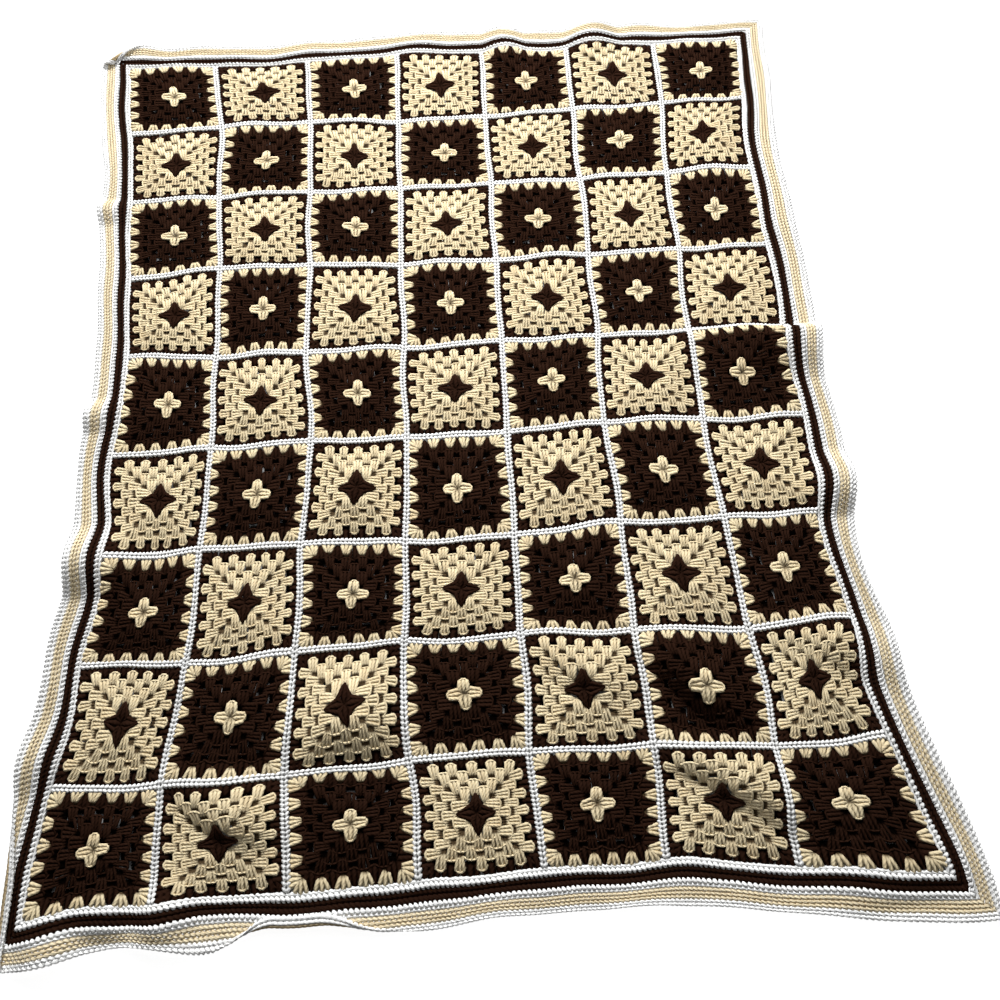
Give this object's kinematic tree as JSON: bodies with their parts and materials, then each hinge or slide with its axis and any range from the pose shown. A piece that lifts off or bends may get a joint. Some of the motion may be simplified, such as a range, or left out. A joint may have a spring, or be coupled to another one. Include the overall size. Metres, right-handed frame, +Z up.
{
  "type": "granny square blanket",
  "caption": "Crocheted throw of alternating light and dark granny squares joined by white seams, with a striped border, laid out with soft folds.",
  "frame": {"origin": "middle of the laid out blanket's bounding box, on the floor under it", "axes": "+Z up from the floor, +Y towards the first row of squares, +X towards the last column"},
  "size_m": [1.3055, 1.5674, 0.0285],
  "materials": {
    "square_yarn": "cream and dark brown worsted yarn, matt, crocheted",
    "seam_yarn": "white worsted yarn, matt, crocheted",
    "border_yarn": "rounds of white, dark brown and gold cream worsted yarn, matt, crocheted"
  },
  "bodies": {
    "root": {"column_1": "square_yarn", "column_2": "square_yarn", "column_3": "square_yarn", "column_4": "square_yarn", "column_5": "square_yarn", "column_6": "square_yarn", "column_7": "square_yarn", "seam_1": "seam_yarn", "seam_2": "seam_yarn", "seam_3": "seam_yarn", "seam_4": "seam_yarn", "seam_5": "seam_yarn", "seam_6": "seam_yarn", "border_left": "border_yarn", "border_right": "border_yarn", "border_top": "border_yarn", "border_bottom": "border_yarn"}
  },
  "joints": []
}
